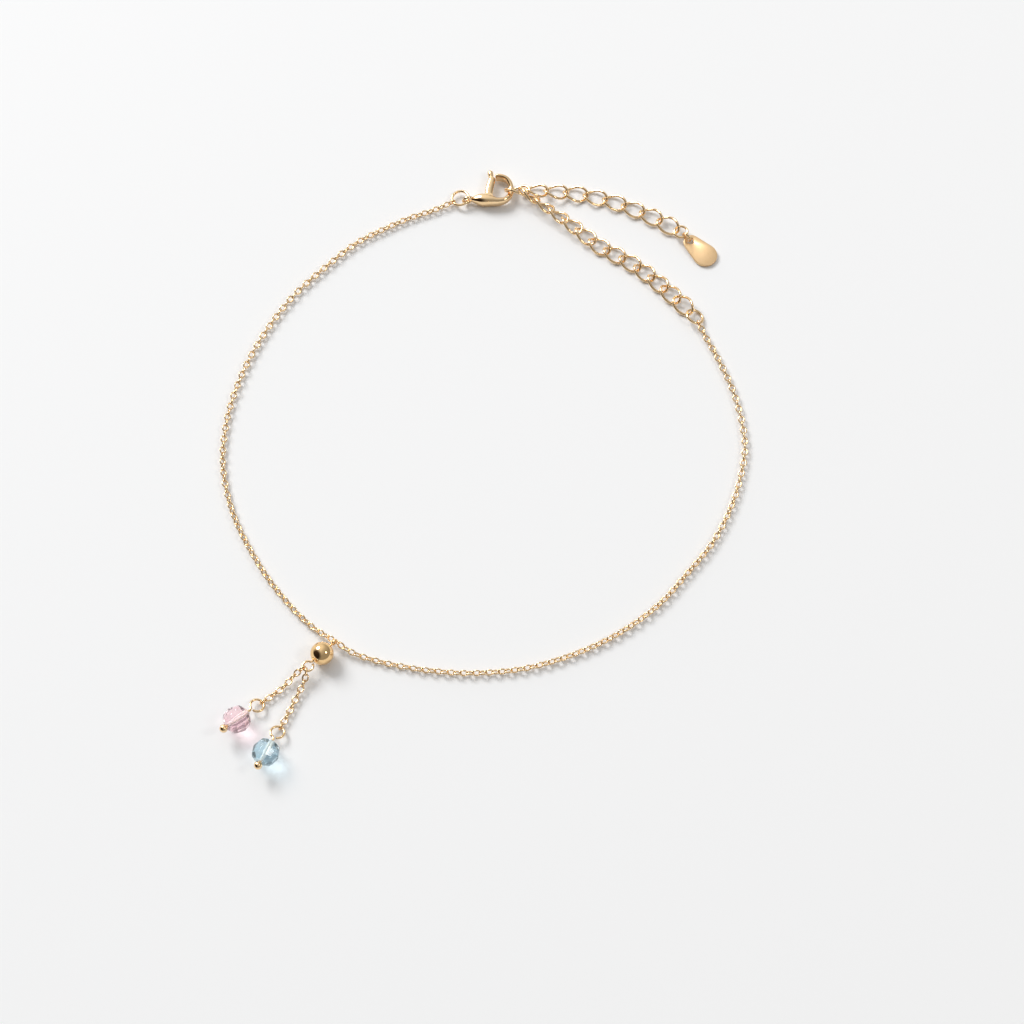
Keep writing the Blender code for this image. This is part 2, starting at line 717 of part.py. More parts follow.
def turned_shell(profile, sides, phase=0.0):
    """A solid turned about X from a closed profile of places along and radii."""
    rings = []
    for along_axis, radius in profile:
        ring = []
        for i in range(sides):
            turn = phase + math.tau * i / sides
            ring.append(Vector((along_axis, math.cos(turn) * radius, math.sin(turn) * radius)))
        rings.append(ring)
    return (rings, True)


def eye_reach(radius):
    """How far from a pin loop's middle the wire is straight again."""
    return radius + PIN_WIRE * LOOP_NECK


def eye_of_pin(centre_at, radius, across):
    """A pin's loop, from its free end round to its neck, with the pin going on towards +X."""
    centre = Vector((centre_at, 0, 0))
    neck = Vector((centre_at + eye_reach(radius), 0, 0))
    opening = math.asin(LOOP_OPENING * PIN_WIRE / radius)
    return arc(centre, radius, opening - math.tau, -opening, 15, across) + [neck]


def place_ball(gold, parent):
    """The drilled ball, and the pin through it: an upright loop for the chain, a flat one below."""
    frame = frame_at(BALL_AT, BALL_HEADING)
    radius = BALL_DIAMETER / 2
    bore = PIN_WIRE / 2 + BORE_CLEARANCE
    start = math.asin(bore / radius)
    profile = []
    for i in range(11):
        turn = start + (math.pi - 2 * start) * i / 10
        profile.append((-math.cos(turn) * radius, math.sin(turn) * radius))
    place_solid("ball_bead", [turned_shell(profile, 16)], gold, parent, frame)

    top_radius = (BALL_TOP_LOOP - PIN_WIRE) / 2
    low_radius = (BALL_LOWER_LOOP - PIN_WIRE) / 2
    top_centre = -(radius + eye_reach(top_radius))
    low_centre = radius + eye_reach(low_radius)
    top = eye_of_pin(top_centre, top_radius, Vector((0, 0, -1)))
    mirrored = eye_of_pin(-low_centre, low_radius, Vector((0, 1, 0)))
    low = [Vector((-point.x, point.y, point.z)) for point in mirrored]
    place_solid("ball_pin", [even_wire(top + low[::-1], PIN_WIRE, 8, False)], gold, parent, frame)
    return frame, top_centre, top_radius, low_centre, low_radius


def crystal_tilt():
    """The lean of a crystal that rests on one of its long facets, and its middle's height."""
    flat = math.cos(math.pi / CRYSTAL_FACETS)
    girdle = CRYSTAL_DIAMETER / 2 * flat
    shoulder = CRYSTAL_SHOULDER_DIAMETER / 2 * flat
    tilt = math.atan2(girdle - shoulder, CRYSTAL_SHOULDER_LENGTH / 2)
    return tilt, girdle * math.cos(tilt)


def headpin_loop_distance():
    return CRYSTAL_LENGTH / 2 + HEADPIN_NECK + eye_reach((HEADPIN_LOOP - PIN_WIRE) / 2)


def charm_frame(place_at, heading):
    tilt, height = crystal_tilt()
    return frame_at(Vector((*place_at, height)), heading, tilt)


def place_charm(colour_name, frame, glass, gold, parent):
    """A faceted crystal, drilled along its axis, on a wire headpin with a ball end and a loop."""
    bore = PIN_WIRE / 2 + BORE_CLEARANCE
    half = CRYSTAL_LENGTH / 2
    shoulder = CRYSTAL_SHOULDER_LENGTH / 2
    profile = [
        (-half, bore),
        (-half, CRYSTAL_TABLE_DIAMETER / 2),
        (-shoulder, CRYSTAL_SHOULDER_DIAMETER / 2),
        (0.0, CRYSTAL_DIAMETER / 2),
        (shoulder, CRYSTAL_SHOULDER_DIAMETER / 2),
        (half, CRYSTAL_TABLE_DIAMETER / 2),
        (half, bore),
    ]
    facet_phase = -math.pi / 2 + math.pi / CRYSTAL_FACETS
    crystal = turned_shell(profile, CRYSTAL_FACETS, facet_phase)
    place_solid("crystal_" + colour_name, [crystal], glass, parent, frame, math.radians(5))

    loop_radius = (HEADPIN_LOOP - PIN_WIRE) / 2
    path = eye_of_pin(-headpin_loop_distance(), loop_radius, Vector((0, 1, 0)))
    diameters = [PIN_WIRE] * len(path)
    ball_at = half + HEADPIN_BALL / 2 + BORE_CLEARANCE / 2
    neck_angle = math.asin(PIN_WIRE / HEADPIN_BALL)
    for i in range(8):
        turn = neck_angle + (HEADPIN_BALL_END - neck_angle) * i / 7
        path.append(Vector((ball_at - math.cos(turn) * HEADPIN_BALL / 2, 0, 0)))
        diameters.append(math.sin(turn) * HEADPIN_BALL)
    headpin = (wire_rings(path, diameters, 10, False), False)
    place_solid("headpin_" + colour_name, [headpin], gold, parent, frame)


def place_short_chain(name, start, middle, end, gold, parent):
    """A short cable chain between two loops, its links turned a quarter from each to the next and
    fused where they press on each other."""
    route = [Vector(point) for point in middle]
    first = start + (route[0] - start).to_2d().normalized().to_3d() * fine_hook_offset(PIN_WIRE)
    last = end + (route[-1] - end).to_2d().normalized().to_3d() * fine_hook_offset(PIN_WIRE)
    curve = smooth_curve([first, *route, last])
    count = 2 * round(curve_length(curve) / FINE_PITCH / 2) + 1
    centres, pitch = along(curve, count)
    upright, flat = [], []
    for i, centre in enumerate(centres):
        step = centres[min(i + 1, count - 1)] - centres[max(i - 1, 0)]
        tilt = math.atan2(step.z, step.to_2d().length)
        roll = math.pi / 2 if i % 2 == 0 else 0.0
        matrix = frame_at(centre, math.atan2(step.y, step.x), tilt, roll)
        (flat if i % 2 else upright).append(fine_link_shell(pitch, matrix))
    chain = place_solid(name, upright, gold, parent)
    boolean(chain, "UNION", name + "_flat_links", flat)


def place_charms(ball, pink_glass, blue_glass, gold, parent):
    frame, _, _, low_centre, low_radius = ball
    loop_at = frame @ Vector((low_centre, 0, 0))
    charms = (
        ("pink", PINK_CRYSTAL_AT, PINK_HEADING, PINK_HOOK_HEADING, PINK_CHAIN_ROUTE, pink_glass),
        ("blue", BLUE_CRYSTAL_AT, BLUE_HEADING, BLUE_HOOK_HEADING, BLUE_CHAIN_ROUTE, blue_glass),
    )
    for colour_name, place_at, heading, hook_heading, route, glass in charms:
        charm = charm_frame(place_at, heading)
        place_charm(colour_name, charm, glass, gold, parent)
        start = loop_at + heading_vector(hook_heading) * low_radius
        pin_loop = charm @ Vector((-headpin_loop_distance(), 0, 0))
        pin_loop_frame = Matrix.Translation(pin_loop) @ charm.to_3x3().to_4x4()
        end, _ = ring_wire_towards(pin_loop_frame, (HEADPIN_LOOP - PIN_WIRE) / 2, route[-1])
        place_short_chain("short_chain_" + colour_name, start, route, end, gold, parent)


def place_main_chain(ball, extender_ring, gold, parent):
    frame, top_centre, top_radius, _, _ = ball
    lean = CENTRE_LINK_LEAN
    held = Vector((top_centre - math.cos(lean) * top_radius, 0, -math.sin(lean) * top_radius))
    middle = frame @ held
    heading = CENTRE_LINK_HEADING
    place_fine_link("chain_link_centre", middle, heading, -lean, gold, parent)
    half = heading_vector(heading) * (fine_link_length(FINE_PITCH) / 2 + CHAIN_END_GAP)
    clasp_side, right_side = sorted((middle - half, middle + half), key=lambda point: point.x)

    clasp_ring = clasp_ring_frame()
    seam = CLASP_RING_SEAM
    place_ring("clasp_ring", JUMP_RING_DIAMETER, JUMP_RING_WIRE, seam, gold, parent, clasp_ring)
    left_start = chain_end("chain_link_clasp_end", clasp_ring, LEFT_ROUTE[0], gold, parent)
    right_end = chain_end("chain_link_extender_end", extender_ring, RIGHT_ROUTE[-1], gold, parent)
    left = [left_start, *map(Vector, LEFT_ROUTE), clasp_side]
    right = [right_side, *map(Vector, RIGHT_ROUTE), right_end]
    place_chain("chain_left", left, gold, parent)
    place_chain("chain_right", right, gold, parent)


def main():
    clear_scene()
    gold = material("gold_plated_brass", (0.83, 0.6, 0.32), 0.18, 1.0)
    pink_glass = material("pink_crystal", (0.95, 0.72, 0.78), 0.02, 0.0, 1.0)
    blue_glass = material("blue_crystal", (0.55, 0.8, 0.92), 0.02, 0.0, 1.0)
    anklet = bpy.data.objects.new("anklet", None)
    bpy.context.scene.collection.objects.link(anklet)
    anklet.location = CENTRING

    place_clasp(gold, anklet)
    extender_ring, last_link, direction = place_extender(gold, anklet)
    place_tag_end(last_link, direction, gold, anklet)
    ball = place_ball(gold, anklet)
    place_main_chain(ball, extender_ring, gold, anklet)
    place_charms(ball, pink_glass, blue_glass, gold, anklet)


main()
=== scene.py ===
import math

import bmesh
import bpy
import numpy as np
from mathutils import Matrix, Vector


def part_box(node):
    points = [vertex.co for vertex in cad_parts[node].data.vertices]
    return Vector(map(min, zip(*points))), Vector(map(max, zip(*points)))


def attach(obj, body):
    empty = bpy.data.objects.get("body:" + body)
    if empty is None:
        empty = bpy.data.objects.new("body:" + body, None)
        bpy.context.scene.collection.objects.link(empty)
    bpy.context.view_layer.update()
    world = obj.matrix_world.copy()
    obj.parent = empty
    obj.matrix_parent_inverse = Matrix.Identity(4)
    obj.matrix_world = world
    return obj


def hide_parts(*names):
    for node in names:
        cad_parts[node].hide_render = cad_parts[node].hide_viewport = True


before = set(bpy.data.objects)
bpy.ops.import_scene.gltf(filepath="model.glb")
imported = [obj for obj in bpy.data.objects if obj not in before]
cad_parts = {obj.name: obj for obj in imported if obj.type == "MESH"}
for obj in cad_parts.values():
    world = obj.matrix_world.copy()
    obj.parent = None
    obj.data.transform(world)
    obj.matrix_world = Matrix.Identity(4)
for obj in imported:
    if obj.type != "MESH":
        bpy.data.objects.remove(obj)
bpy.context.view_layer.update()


# The table: a matt off-white board under a large soft lamp high on the left and a weaker one on the
# right. The room is brightest on its window side and has one dark corner, which polished metal shows
# as its darker tones, and a pale wall stands behind the board.

def linear(hex_colour):
    """An sRGB hex value as linear colour with full alpha."""
    shares = [int(hex_colour[i:i + 2], 16) / 255 for i in (1, 3, 5)]
    return (*[c / 12.92 if c <= 0.04045 else ((c + 0.055) / 1.055) ** 2.4 for c in shares], 1.0)


def add_node(tree, kind, inputs=None, **settings):
    """Adds a node, sets its properties, and fills its sockets with values or links."""
    node = tree.nodes.new(kind)
    for name, value in settings.items():
        setattr(node, name, value)
    for socket, value in (inputs or {}).items():
        if isinstance(value, bpy.types.NodeSocket):
            tree.links.new(value, node.inputs[socket])
        else:
            node.inputs[socket].default_value = value
    return node


# Matt board: an even off-white with next to no gloss.
board = bpy.data.materials.new("matt_white_board")
board.use_nodes = True
board_shader = board.node_tree.nodes["Principled BSDF"]
board_shader.inputs["Base Color"].default_value = linear("#F5F6F7")
board_shader.inputs["Roughness"].default_value = 0.85
board_shader.inputs["Specular IOR Level"].default_value = 0.15

board_half = 1.5
board_corners = [(-board_half, -board_half, 0), (board_half, -board_half, 0),
                 (board_half, board_half, 0), (-board_half, board_half, 0)]
floor_mesh = bpy.data.meshes.new("table_top")
floor_mesh.from_pydata(board_corners, [], [(0, 1, 2, 3)])
floor_mesh.materials.append(board)
floor = bpy.data.objects.new("table_top", floor_mesh)
bpy.context.scene.collection.objects.link(floor)


def soft_lamp(name, place, size, watts, colour):
    """A round soft lamp that points at the middle of the table."""
    data = bpy.data.lights.new(name, "AREA")
    data.shape = "DISK"
    data.size = size
    data.energy = watts
    data.color = linear(colour)[:3]
    lamp = bpy.data.objects.new(name, data)
    lamp.location = place
    lamp.rotation_mode = "QUATERNION"
    lamp.rotation_quaternion = Vector(place).to_track_quat("Z", "Y")
    bpy.context.scene.collection.objects.link(lamp)


soft_lamp("lamp_high_left", (-0.9, 0.93, 1.08), size=0.8, watts=20.5, colour="#FFFFFF")
soft_lamp("lamp_right", (0.53, -0.12, 0.58), size=0.16, watts=0.7, colour="#FFFCF8")

bpy.context.scene.view_settings.view_transform = "Standard"

world = bpy.data.worlds.new("room")
bpy.context.scene.world = world
world.use_nodes = True
room = world.node_tree
room.nodes.clear()
looking = add_node(room, "ShaderNodeTexCoord").outputs["Generated"]


def room_tones(towards, stops):
    """Colours that follow how far one looks towards a direction."""
    side = add_node(room, "ShaderNodeVectorMath", {0: looking, 1: Vector(towards)},
                    operation="DOT_PRODUCT")
    ramp = add_node(room, "ShaderNodeValToRGB", {"Fac": side.outputs["Value"]})
    for element, (place, colour) in zip(ramp.color_ramp.elements, (stops[0], stops[-1])):
        element.position = place
        element.color = linear(colour)
    for place, colour in stops[1:-1]:
        ramp.color_ramp.elements.new(place).color = linear(colour)
    return ramp.outputs["Color"]


# The colour sockets of a Mix node are numbers 6 and 7, and its colour output is number 2.
def mix_colours(tree, share, first, second, **settings):
    """The colour output of a Mix node between two colours."""
    mix = add_node(tree, "ShaderNodeMix", {0: share, 6: first, 7: second}, data_type="RGBA", **settings)
    return mix.outputs[2]


window_light = room_tones((-0.52, 0.6, 0.6), [(0.0, "#9E9D9B"), (0.5, "#C3C2C1"), (0.85, "#FFFFFF")])
dark_corner = room_tones((-0.82, -0.38, 0.42), [(0.55, "#FFFFFF"), (0.85, "#443A34")])
tones = mix_colours(room, 1.0, window_light, dark_corner, blend_type="MULTIPLY")
glow = add_node(room, "ShaderNodeBackground", {"Color": tones, "Strength": 0.98})
wall = add_node(room, "ShaderNodeBackground", {"Color": linear("#ECECEB")})
seen_directly = add_node(room, "ShaderNodeLightPath").outputs["Is Camera Ray"]
shown = add_node(room, "ShaderNodeMixShader", {
    0: seen_directly, 1: glow.outputs[0], 2: wall.outputs[0]})
add_node(room, "ShaderNodeOutputWorld", {"Surface": shown.outputs["Shader"]})

camera_data = bpy.data.cameras.new("camera")
camera_data.lens = 85
camera_data.sensor_width = 36
camera_data.clip_start = 0.01
camera = bpy.data.objects.new("camera", camera_data)
aim = Vector((0.00454, -0.00974, 0))
camera.location = aim + Vector((0, -0.16355, 0.35074))
camera.rotation_mode = "QUATERNION"
camera.rotation_quaternion = (camera.location - aim).to_track_quat("Z", "Y")
bpy.context.scene.collection.objects.link(camera)
bpy.context.scene.camera = camera


# The fine cable chain: oval links of 0.28 mm brass wire, each turned a quarter from the last, closed
# by solder and plated after it is made up. It runs from the clasp's ring by the ball to the extender.

# Gold-plated brass, polished: a warm mirror, a little uneven in tone where the plating is thinner,
# with fine marks from polishing that are drawn at about 0.15 mm.
def gold_finish(name, colour, thin_colour, roughness, mark_mm=0.15, mark_depth=0.02):
    """Plated brass whose gloss varies by three tenths about its roughness."""
    finish = bpy.data.materials.new(name)
    finish.use_nodes = True
    tree = finish.node_tree
    shader = tree.nodes["Principled BSDF"]
    shader.inputs["Metallic"].default_value = 1.0
    at = add_node(tree, "ShaderNodeTexCoord").outputs["Object"]
    cloud_size = 0.0015
    clouds = add_node(tree, "ShaderNodeTexNoise", {"Vector": at, "Scale": 1 / cloud_size, "Detail": 3.0})
    tone = mix_colours(tree, clouds.outputs["Fac"], linear(colour), linear(thin_colour))
    tree.links.new(tone, shader.inputs["Base Color"])
    marks = add_node(tree, "ShaderNodeTexNoise", {"Vector": at, "Scale": 1000 / mark_mm, "Detail": 2.0})
    gloss = add_node(tree, "ShaderNodeMapRange", {
        "Value": marks.outputs["Fac"], "From Min": 0.3, "From Max": 0.7,
        "To Min": roughness * 0.7, "To Max": roughness * 1.3})
    tree.links.new(gloss.outputs["Result"], shader.inputs["Roughness"])
    relief = add_node(tree, "ShaderNodeBump", {
        "Height": marks.outputs["Fac"], "Strength": mark_depth, "Distance": 0.00002})
    tree.links.new(relief.outputs["Normal"], shader.inputs["Normal"])
    return finish


polished_gold = gold_finish("polished_gold_plated_brass", "#FBDDB2", "#F3CF9C", 0.1)

fine_wire = 0.00028
fine_link_width = 0.00116
fine_link_length = 0.00148
fine_pitch = 0.001
# The height of the chain's middle where it lies on the table, and the shift that centres the whole.
fine_lie = 0.00062
centring = Vector((0.00004, -0.00008, 0))


def finish_piece(obj, body, slot, *nodes):
    """Puts a finished mesh on its body, in place of the CAD nodes that it stands for."""
    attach(obj, body)
    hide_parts(*nodes)


def new_object(name, data, finish):
    """An object in the scene, with the finish where its data has none."""
    obj = bpy.data.objects.new(name, data)
    bpy.context.scene.collection.objects.link(obj)
    if finish and not data.materials:
        data.materials.append(finish)
    return obj


def cad_points(node):
    """The corners of a CAD node, in metres."""
    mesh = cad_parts[node].data
    points = np.empty(len(mesh.vertices) * 3)
    mesh.vertices.foreach_get("co", points)
    return np.unique(points.reshape(-1, 3).round(8), axis=0)


def middle_of(node):
    """The middle of a CAD node's box."""
    low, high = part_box(node)
    return (Vector(low) + Vector(high)) / 2


def axes_of(node):
    """A node's middle, and its long, middle and short directions as a turned frame."""
    points = cad_points(node)
    centre = points.mean(axis=0)
    _, directions = np.linalg.eigh(np.cov((points - centre).T))
    long = Vector(directions[:, 2])
    mid = Vector(directions[:, 1])
    turn = Matrix((long, mid, long.cross(mid))).transposed().to_4x4()
    return Matrix.Translation(Vector(centre)) @ turn


def calculate(tree, operation, first, second=0.0):
    """The output of a Math node."""
    return add_node(tree, "ShaderNodeMath", {0: first, 1: second}, operation=operation).outputs[0]


def half_difference(tree, whole, wire):
    """Half of a size measured between the middles of the wire."""
    return calculate(tree, "MULTIPLY", calculate(tree, "SUBTRACT", whole, wire), 0.5)


def smooth_curve(points, steps=12):
    """Many points on a smooth curve through the chosen ones."""
    padded = [points[0] * 2 - points[1], *points, points[-1] * 2 - points[-2]]
    curve = []
    for before, start, end, after in zip(padded, padded[1:], padded[2:], padded[3:]):
        square = before * 2 - start * 5 + end * 4 - after
        cube = start * 3 - before - end * 3 + after
        for i in range(steps):
            t = i / steps
            bend = square * t**2 + cube * t**3
            curve.append((start * 2 + (end - before) * t + bend) / 2)
    curve.append(points[-1])
    return curve


def new_tree(name, **inputs):
    """A Geometry Nodes tree with named inputs of each kind, its input node, and a geometry output."""
    tree = bpy.data.node_groups.new(name, "GeometryNodeTree")
    for kind, names in inputs.items():
        for socket in names:
            tree.interface.new_socket(socket, in_out="INPUT", socket_type="NodeSocket" + kind)
    tree.interface.new_socket("Geometry", in_out="OUTPUT", socket_type="NodeSocketGeometry")
    return tree, add_node(tree, "NodeGroupInput").outputs


def oval_link_tree():
    """A link of round wire: an oval, twisted about its long axis from end to end."""
    tree, sizes = new_tree("oval_link", Float=("Length", "Width", "Wire", "Twist"), Int=("Steps", "Sides"))
    circle = add_node(tree, "GeometryNodeCurvePrimitiveCircle", {
        "Resolution": sizes["Steps"], "Radius": 1.0})
    place = add_node(tree, "GeometryNodeInputPosition")
    parts = add_node(tree, "ShaderNodeSeparateXYZ", {0: place.outputs[0]})
    half_length = half_difference(tree, sizes["Length"], sizes["Wire"])
    half_width = half_difference(tree, sizes["Width"], sizes["Wire"])
    half_twist = calculate(tree, "MULTIPLY", sizes["Twist"], 0.5)
    angle = calculate(tree, "MULTIPLY", half_twist, parts.outputs["X"])
    across = calculate(tree, "MULTIPLY", parts.outputs["Y"], half_width)
    twisted = add_node(tree, "ShaderNodeCombineXYZ", {
        "X": calculate(tree, "MULTIPLY", parts.outputs["X"], half_length),
        "Y": calculate(tree, "MULTIPLY", across, calculate(tree, "COSINE", angle)),
        "Z": calculate(tree, "MULTIPLY", across, calculate(tree, "SINE", angle))})
    bent = add_node(tree, "GeometryNodeSetPosition", {
        "Geometry": circle.outputs[0], "Position": twisted.outputs[0]})
    wire = add_node(tree, "GeometryNodeCurvePrimitiveCircle", {
        "Resolution": sizes["Sides"], "Radius": calculate(tree, "MULTIPLY", sizes["Wire"], 0.5)})
    swept = add_node(tree, "GeometryNodeCurveToMesh", {
        "Curve": bent.outputs[0], "Profile Curve": wire.outputs[0]})
    smooth = add_node(tree, "GeometryNodeSetShadeSmooth", {"Geometry": swept.outputs[0]})
    add_node(tree, "NodeGroupOutput", {"Geometry": smooth.outputs[0]})
    return tree


def add_link(tree, oval_link, sizes, twist, steps, sides):
    """The link as a node, with its sizes from the inputs of the tree around it."""
    link = add_node(tree, "GeometryNodeGroup", {
        "Length": sizes["Link Length"], "Width": sizes["Link Width"], "Wire": sizes["Wire"],
        "Twist": twist, "Steps": steps, "Sides": sides}, node_tree=oval_link)
    return link.outputs[0]


def end_tree(tree, links, metal):
    """Makes the laid links real, gives them their metal and puts them out."""
    real = add_node(tree, "GeometryNodeRealizeInstances", {"Geometry": links})
    coated = add_node(tree, "GeometryNodeSetMaterial", {"Geometry": real.outputs[0], "Material": metal})
    add_node(tree, "NodeGroupOutput", {"Geometry": coated.outputs[0]})
    return tree


def cable_chain_tree(oval_link):
    """Links along a curve, each turned a quarter from the last, with a slow drift of that turn."""
    tree, sizes = new_tree(
        "cable_chain", Geometry=("Geometry",),
        Float=("Link Length", "Link Width", "Wire", "First Turn", "Last Turn", "Drift"),
        Int=("Links", "First Link"), Material=("Metal",))
    link = add_link(tree, oval_link, sizes, twist=0.0, steps=12, sides=6)
    spread = add_node(tree, "GeometryNodeResampleCurve", {
        "Curve": sizes["Geometry"], "Count": sizes["Links"]})
    index = add_node(tree, "GeometryNodeInputIndex").outputs[0]
    tangent = add_node(tree, "GeometryNodeInputTangent").outputs[0]
    share = calculate(tree, "DIVIDE", index, calculate(tree, "SUBTRACT", sizes["Links"], 1.0))
    span = calculate(tree, "SUBTRACT", sizes["Last Turn"], sizes["First Turn"])
    eased = calculate(tree, "ADD", sizes["First Turn"], calculate(tree, "MULTIPLY", span, share))
    # The drift wanders slowly with the link's number and fades out towards both ends.
    wander = add_node(tree, "ShaderNodeTexNoise", {
        "W": calculate(tree, "MULTIPLY", index, 0.11), "Scale": 1.0, "Detail": 1.0}, noise_dimensions="1D")
    centred = calculate(tree, "SUBTRACT", wander.outputs[0], 0.5)
    left_over = calculate(tree, "SUBTRACT", 1.0, share)
    window = calculate(tree, "MULTIPLY", calculate(tree, "MULTIPLY", share, left_over), 4.0)
    swing = calculate(tree, "MULTIPLY", centred, window)
    drift = calculate(tree, "MULTIPLY", swing, sizes["Drift"])
    quarter = calculate(tree, "MULTIPLY", index, math.pi / 2)
    roll = calculate(tree, "ADD", calculate(tree, "ADD", eased, drift), quarter)
    heading = add_node(tree, "FunctionNodeAlignRotationToVector", {"Vector": tangent},
                       axis="X", pivot_axis="Z")
    sloped = add_node(tree, "FunctionNodeAlignRotationToVector", {
        "Rotation": heading.outputs[0], "Vector": tangent}, axis="X", pivot_axis="Y")
    about_x = add_node(tree, "ShaderNodeCombineXYZ", {"X": roll})
    by = add_node(tree, "FunctionNodeEulerToRotation", {0: about_x.outputs[0]})
    rolled = add_node(tree, "FunctionNodeRotateRotation", {
        "Rotation": sloped.outputs[0], "Rotate By": by.outputs[0]}, rotation_space="LOCAL")
    # The integer sockets of a Compare node are numbers 2 and 3.
    chosen = add_node(tree, "FunctionNodeCompare", {2: index, 3: sizes["First Link"]},
                      data_type="INT", operation="GREATER_EQUAL")
    laid = add_node(tree, "GeometryNodeInstanceOnPoints", {
        "Points": spread.outputs[0], "Instance": link, "Rotation": rolled.outputs[0],
        "Selection": chosen.outputs[0]})
    return end_tree(tree, laid.outputs[0], sizes["Metal"])


oval_link = oval_link_tree()
cable_chain = cable_chain_tree(oval_link)


def plain_mesh(obj, name):
    """The evaluated object as a plain mesh object, with the first one removed."""
    bpy.context.view_layer.update()
    evaluated = obj.evaluated_get(bpy.context.evaluated_depsgraph_get())
    mesh = bpy.data.meshes.new_from_object(evaluated)
    mesh.name = name
    bpy.data.objects.remove(obj, do_unlink=True)
    return new_object(name, mesh, None)


def grow(guide, tree, name, **values):
    """The plain mesh that a tree makes of a guide object, with the tree's named inputs set."""
    modifier = guide.modifiers.new("tree", "NODES")
    modifier.node_group = tree
    for item in tree.interface.items_tree:
        key = item.name.lower().replace(" ", "_")
        if item.item_type == "SOCKET" and item.in_out == "INPUT" and key in values:
            modifier[item.identifier] = values[key]
    return plain_mesh(guide, name)


def path_object(name, points):
    """A curve object that runs straight from point to point."""
    data = bpy.data.curves.new(name, "CURVE")
    data.dimensions = "3D"
    spline = data.splines.new("POLY")
    spline.points.add(len(points) - 1)
    for spline_point, point in zip(spline.points, points):
        spline_point.co = (*point, 1.0)
    return new_object(name, data, None)


def lay_cable(name, route, odd, first_link, first_turn, last_turn, drift):
    """A stretch of cable chain, whose first and last links lie on the ends of the route."""
    curve = smooth_curve(route)
    length = sum((end - start).length for start, end in zip(curve, curve[1:]))
    links = 2 * round((length / fine_pitch + 1 - odd) / 2) + odd
    return grow(path_object(name + "_path", curve), cable_chain, name,
                link_length=fine_link_length, link_width=fine_link_width, wire=fine_wire,
                first_turn=math.radians(first_turn), last_turn=math.radians(last_turn),
                drift=math.radians(drift), links=links, first_link=first_link, metal=polished_gold)


def along_route(places):
    """Points of a run of chain, at the chain's own height where a place gives none."""
    return [Vector((x, y, *(height or [fine_lie]))) + centring for x, y, *height in places]


left_route = along_route([
    (-0.0089, 0.0465), (-0.0128, 0.045), (-0.0168, 0.043), (-0.02145, 0.04025),
    (-0.0262, 0.036), (-0.03235, 0.0293), (-0.0374, 0.0209), (-0.0407, 0.0122),
    (-0.0421, 0.0045), (-0.04195, -0.003), (-0.0396, -0.0114), (-0.03485, -0.0202),
    (-0.0302, -0.0263), (-0.0266, -0.0299, 0.0008), (-0.0246, -0.0314, 0.0012),
])
right_route = along_route([
    (-0.021, -0.0339, 0.0012), (-0.0191, -0.0347, 0.0008), (-0.0157, -0.0357), (-0.0119, -0.0365),
    (-0.008, -0.0371), (-0.0018, -0.0375), (0.006, -0.0368), (0.0135, -0.0346),
    (0.0206, -0.0312), (0.0271, -0.0264), (0.03195, -0.0209), (0.0366, -0.0149),
    (0.04, -0.0078), (0.0419, -0.0007), (0.0421, 0.0043), (0.0408, 0.0115),
    (0.0384, 0.018), (0.0369, 0.0212),
])
clasp_end = middle_of("chain_link_clasp_end")
centre = middle_of("chain_link_centre")
extender_end = middle_of("chain_link_extender_end")
cable_left = lay_cable("cable_chain_left", [clasp_end, *left_route, centre],
                       odd=0, first_link=0, first_turn=90, last_turn=45, drift=60)
finish_piece(cable_left, "anklet", "gold_plated_brass",
             "chain_left", "chain_link_clasp_end", "chain_link_centre")
# The right run begins with its second link, as the left one ends with the link that they share.
cable_right = lay_cable("cable_chain_right", [centre, *right_route, extender_end],
                        odd=0, first_link=1, first_turn=-45, last_turn=0, drift=60)
finish_piece(cable_right, "anklet", "gold_plated_brass", "chain_right", "chain_link_extender_end")


# The split rings: round wire bent to a ring, its two cut ends pressed together. One joins the clasp
# to the chain and one the chain to the extender; two small ones carry the tag.

ring_seam = 0.00008
# Round wire bulges this much below the facets of the solid that it replaces.
ring_lift = 0.00002


def split_ring_tree():
    """A ring of round wire in its own plane, open by a fine seam at its +X side."""
    tree, sizes = new_tree("split_ring", Geometry=("Geometry",), Float=("Diameter", "Wire", "Seam"),
                           Material=("Metal",))
    radius = half_difference(tree, sizes["Diameter"], sizes["Wire"])
    gap = calculate(tree, "DIVIDE", sizes["Seam"], radius)
    bend = add_node(tree, "GeometryNodeCurveArc", {
        "Resolution": 64, "Radius": radius, "Start Angle": calculate(tree, "MULTIPLY", gap, 0.5),
        "Sweep Angle": calculate(tree, "SUBTRACT", math.tau, gap)})
    wire = add_node(tree, "GeometryNodeCurvePrimitiveCircle", {
        "Resolution": 20, "Radius": calculate(tree, "MULTIPLY", sizes["Wire"], 0.5)})
    swept = add_node(tree, "GeometryNodeCurveToMesh", {
        "Curve": bend.outputs[0], "Profile Curve": wire.outputs[0], "Fill Caps": True})
    smooth = add_node(tree, "GeometryNodeSetShadeSmooth", {"Geometry": swept.outputs[0]})
    metal = add_node(tree, "GeometryNodeSetMaterial", {
        "Geometry": smooth.outputs[0], "Material": sizes["Metal"]})
    add_node(tree, "NodeGroupOutput", {"Geometry": metal.outputs[0]})
    return tree


split_ring = split_ring_tree()


def direction(angle):
    """The level direction at an angle from +X."""
    return Vector((math.cos(angle), math.sin(angle), 0))


